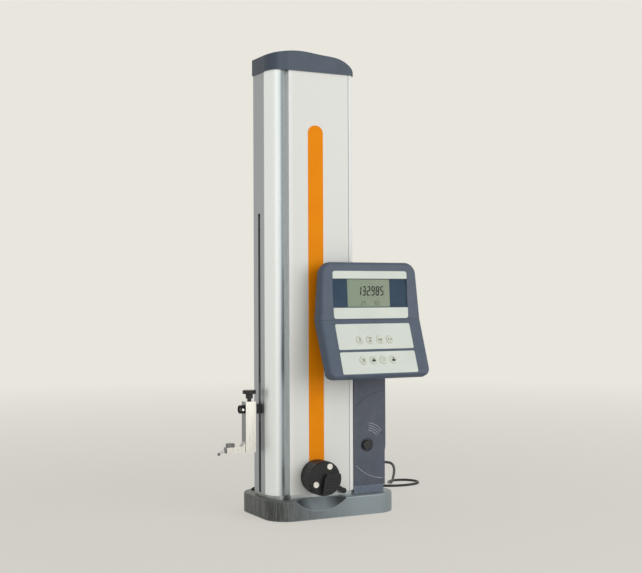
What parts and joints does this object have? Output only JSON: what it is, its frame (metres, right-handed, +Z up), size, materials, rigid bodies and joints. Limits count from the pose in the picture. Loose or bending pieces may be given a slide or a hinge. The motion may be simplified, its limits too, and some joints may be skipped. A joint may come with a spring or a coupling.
{
  "type": "electronic height gauge",
  "caption": "Bench height gauge: a probe carriage runs up a slotted aluminium column on a cast base, driven by a front handwheel, with a tilting display console and a side power housing.",
  "frame": {"origin": "middle of the base underside, on the surface that it stands on", "axes": "+X to the right as seen from the front, +Y to the back, +Z up along the column"},
  "size_m": [0.4767, 0.3563, 0.748],
  "materials": {
    "cast_iron_painted": "satin grey enamel on a machined casting",
    "aluminium_anodised": "satin anodised extrusion",
    "cap_plastic": "matte dark blue-grey",
    "orange_film": "orange film",
    "steel_bright": "ground",
    "steel_dark": "blackened",
    "black_plastic": "fine texture",
    "housing_plastic": "matte dark grey",
    "console_plastic": "matte blue-grey",
    "plate_pale": "pale printed plate",
    "display_glass": "clear window",
    "lcd_glass": "olive-grey liquid crystal",
    "key_cream": "moulded cream",
    "bronze": "turned",
    "rubber_black": "matte",
    "scale_glass": "graduated strip"
  },
  "bodies": {
    "base": {"base_casting": "cast_iron_painted", "column_plinth": "aluminium_anodised", "column_housing": "aluminium_anodised", "front_stripe": "orange_film", "top_cap": "cap_plastic", "guide_column": "steel_bright", "scale_strip": "scale_glass", "column_head": "aluminium_anodised", "drive_belt": "rubber_black", "shaft_bush": "black_plastic", "shaft_bearing": "steel_bright", "side_housing": "housing_plastic", "housing_plinth": "housing_plastic", "housing_cover": "housing_plastic", "battery_pack": "black_plastic", "air_pump": "aluminium_anodised", "console_bracket": "black_plastic", "hinge_pin": "steel_bright", "cord_gland": "black_plastic", "mains_cord": "rubber_black", "cord_coil": "rubber_black", "cord_tail": "rubber_black", "plug_body": "black_plastic"},
    "drive": {"drive_shaft": "steel_bright", "drive_pulley": "black_plastic", "handwheel": "black_plastic", "wheel_screws": "steel_bright"},
    "idler": {"idler_pulley": "black_plastic"},
    "carriage": {"carriage_frame": "aluminium_anodised", "roller_pins": "steel_bright", "reading_head": "black_plastic", "carriage_arm": "black_plastic", "holder_shaft": "steel_bright"},
    "holder": {"probe_holder": "steel_bright", "stylus": "steel_bright"},
    "holder_clamp": {"clamp_knob": "black_plastic"},
    "shaft_nut": {"ring_nut": "steel_dark"},
    "insert_clamp": {"insert_screw": "steel_dark"},
    "weight": {"counterweight": "steel_bright"},
    "drive_clamp": {"clamp_lever": "black_plastic"},
    "console": {"display_case": "console_plastic", "keypad_case": "console_plastic", "console_rear": "console_plastic", "display_plates": "plate_pale", "display_window": "display_glass", "lcd_module": "lcd_glass", "key_plates": "plate_pale"},
    "start": {"start_button": "black_plastic"},
    "roller_1": {"guide_roller_1": "bronze"},
    "roller_2": {"guide_roller_2": "bronze"},
    "roller_3": {"guide_roller_3": "bronze"},
    "roller_4": {"guide_roller_4": "bronze"},
    "push_key_1": {"key_1": "key_cream"},
    "push_key_2": {"key_2": "key_cream"},
    "push_key_3": {"key_3": "key_cream"},
    "push_key_4": {"key_4": "key_cream"},
    "push_key_5": {"key_5": "key_cream"},
    "push_key_6": {"key_6": "key_cream"},
    "push_key_7": {"key_7": "key_cream"},
    "push_key_8": {"key_8": "key_cream"}
  },
  "joints": [
    {"name": "carriage_slide", "type": "slide", "parent": "base", "child": "carriage", "axis": [0, 0, 1], "range_m": [-0.1, 0.305]},
    {"name": "counterweight_slide", "type": "slide", "parent": "base", "child": "weight", "axis": [0, 0, 1], "range_m": [-0.305, 0.1]},
    {"name": "handwheel_turn", "type": "hinge", "parent": "base", "child": "drive", "pos_m": [-0.0313, -0.002, 0.0658], "axis": [0, 1, 0], "range_deg": [-480, 1460]},
    {"name": "idler_turn", "type": "hinge", "parent": "base", "child": "idler", "pos_m": [-0.0313, -0.002, 0.664], "axis": [0, 1, 0], "range_deg": [-480, 1460]},
    {"name": "holder_turn", "type": "hinge", "parent": "carriage", "child": "holder", "pos_m": [-0.1244, -0.002, 0.1735], "axis": [1, 0, 0], "range_deg": [-90, 90]},
    {"name": "holder_knob_turn", "type": "hinge", "parent": "holder", "child": "holder_clamp", "pos_m": [-0.12445, -0.002, 0.19], "axis": [0, 0, 1], "range_deg": [-360, 0]},
    {"name": "shaft_nut_turn", "type": "hinge", "parent": "carriage", "child": "shaft_nut", "pos_m": [-0.138, -0.002, 0.1735], "axis": [1, 0, 0], "range_deg": [-360, 0]},
    {"name": "insert_screw_turn", "type": "hinge", "parent": "holder", "child": "insert_clamp", "pos_m": [-0.1578, -0.002, 0.116], "axis": [0, 0, 1], "range_deg": [-360, 0]},
    {"name": "drive_clamp_turn", "type": "hinge", "parent": "base", "child": "drive_clamp", "pos_m": [-0.0313, -0.058, 0.0658], "axis": [0, 1, 0], "range_deg": [-60, 0]},
    {"name": "console_tilt", "type": "hinge", "parent": "base", "child": "console", "pos_m": [0.0735, -0.062, 0.318], "axis": [1, 0, 0], "range_deg": [-8, 15]},
    {"name": "start_push", "type": "slide", "parent": "base", "child": "start", "axis": [0, 1, 0], "range_m": [0, 0.0025], "stiffness_N_per_m": 300},
    {"name": "roller_1_turn", "type": "hinge", "parent": "carriage", "child": "roller_1", "pos_m": [-0.091, -0.002, 0.159], "axis": [0, 1, 0], "range_deg": [-1440, 4380]},
    {"name": "roller_2_turn", "type": "hinge", "parent": "carriage", "child": "roller_2", "pos_m": [-0.0606, -0.002, 0.159], "axis": [0, 1, 0], "range_deg": [-4380, 1440]},
    {"name": "roller_3_turn", "type": "hinge", "parent": "carriage", "child": "roller_3", "pos_m": [-0.091, -0.002, 0.206], "axis": [0, 1, 0], "range_deg": [-1440, 4380]},
    {"name": "roller_4_turn", "type": "hinge", "parent": "carriage", "child": "roller_4", "pos_m": [-0.0606, -0.002, 0.206], "axis": [0, 1, 0], "range_deg": [-4380, 1440]},
    {"name": "key_1_push", "type": "slide", "parent": "console", "child": "push_key_1", "axis": [0, 0.9397, -0.342], "range_m": [0, 0.0008], "stiffness_N_per_m": 500},
    {"name": "key_2_push", "type": "slide", "parent": "console", "child": "push_key_2", "axis": [0, 0.9397, -0.342], "range_m": [0, 0.0008], "stiffness_N_per_m": 500},
    {"name": "key_3_push", "type": "slide", "parent": "console", "child": "push_key_3", "axis": [0, 0.9397, -0.342], "range_m": [0, 0.0008], "stiffness_N_per_m": 500},
    {"name": "key_4_push", "type": "slide", "parent": "console", "child": "push_key_4", "axis": [0, 0.9397, -0.342], "range_m": [0, 0.0008], "stiffness_N_per_m": 500},
    {"name": "key_5_push", "type": "slide", "parent": "console", "child": "push_key_5", "axis": [0, 0.9397, -0.342], "range_m": [0, 0.0008], "stiffness_N_per_m": 500},
    {"name": "key_6_push", "type": "slide", "parent": "console", "child": "push_key_6", "axis": [0, 0.9397, -0.342], "range_m": [0, 0.0008], "stiffness_N_per_m": 500},
    {"name": "key_7_push", "type": "slide", "parent": "console", "child": "push_key_7", "axis": [0, 0.9397, -0.342], "range_m": [0, 0.0008], "stiffness_N_per_m": 500},
    {"name": "key_8_push", "type": "slide", "parent": "console", "child": "push_key_8", "axis": [0, 0.9397, -0.342], "range_m": [0, 0.0008], "stiffness_N_per_m": 500}
  ],
  "couplings": [
    {"joint": "counterweight_slide", "follows": "carriage_slide", "ratio": -1},
    {"joint": "handwheel_turn", "follows": "carriage_slide", "rad_per_m": 83.333},
    {"joint": "idler_turn", "follows": "carriage_slide", "rad_per_m": 83.333},
    {"joint": "roller_1_turn", "follows": "carriage_slide", "rad_per_m": 250},
    {"joint": "roller_2_turn", "follows": "carriage_slide", "rad_per_m": -250},
    {"joint": "roller_3_turn", "follows": "carriage_slide", "rad_per_m": 250},
    {"joint": "roller_4_turn", "follows": "carriage_slide", "rad_per_m": -250}
  ]
}
